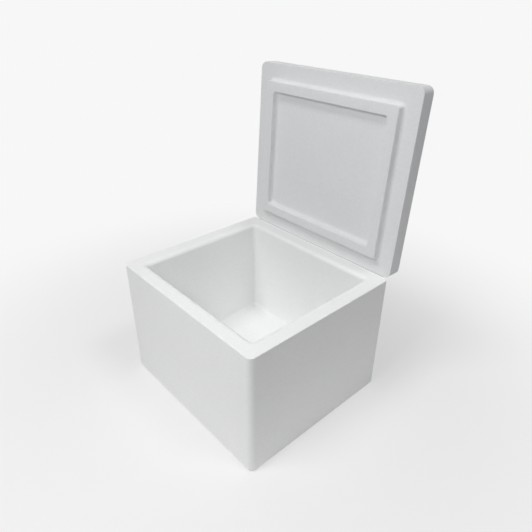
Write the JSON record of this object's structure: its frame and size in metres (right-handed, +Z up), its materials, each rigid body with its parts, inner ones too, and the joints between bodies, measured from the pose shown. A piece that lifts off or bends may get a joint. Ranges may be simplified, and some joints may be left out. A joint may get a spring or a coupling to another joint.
{
  "type": "polystyrene foam box with hinged lid",
  "caption": "Thick-walled expanded polystyrene box with a plug-in lid hinged along its back edge, for keeping samples cold in the lab or in transit.",
  "frame": {"origin": "middle of the underside of the box, on the surface it stands on", "axes": "+Z up, +Y towards the hinged back edge, -Y the front, +X to the right when seen from the front"},
  "size_m": [0.29, 0.2988, 0.4555],
  "materials": {
    "foam_box": "white moulded bead foam, faintly pebbled, matte",
    "foam_lid": "white moulded bead foam, faintly pebbled, matte",
    "hinge_film": "milky see-through self-adhesive film"
  },
  "bodies": {
    "base": {"box_body": "foam_box", "hinge_tape_box_half": "hinge_film"},
    "cover": {"lid": "foam_lid", "hinge_tape_lid_half": "hinge_film"}
  },
  "joints": [
    {"name": "lid_hinge", "type": "hinge", "parent": "base", "child": "cover", "pos_m": [0, 0.1305, 0.195], "axis": [-1, 0, 0], "range_deg": [-93.3, 81.7]}
  ]
}
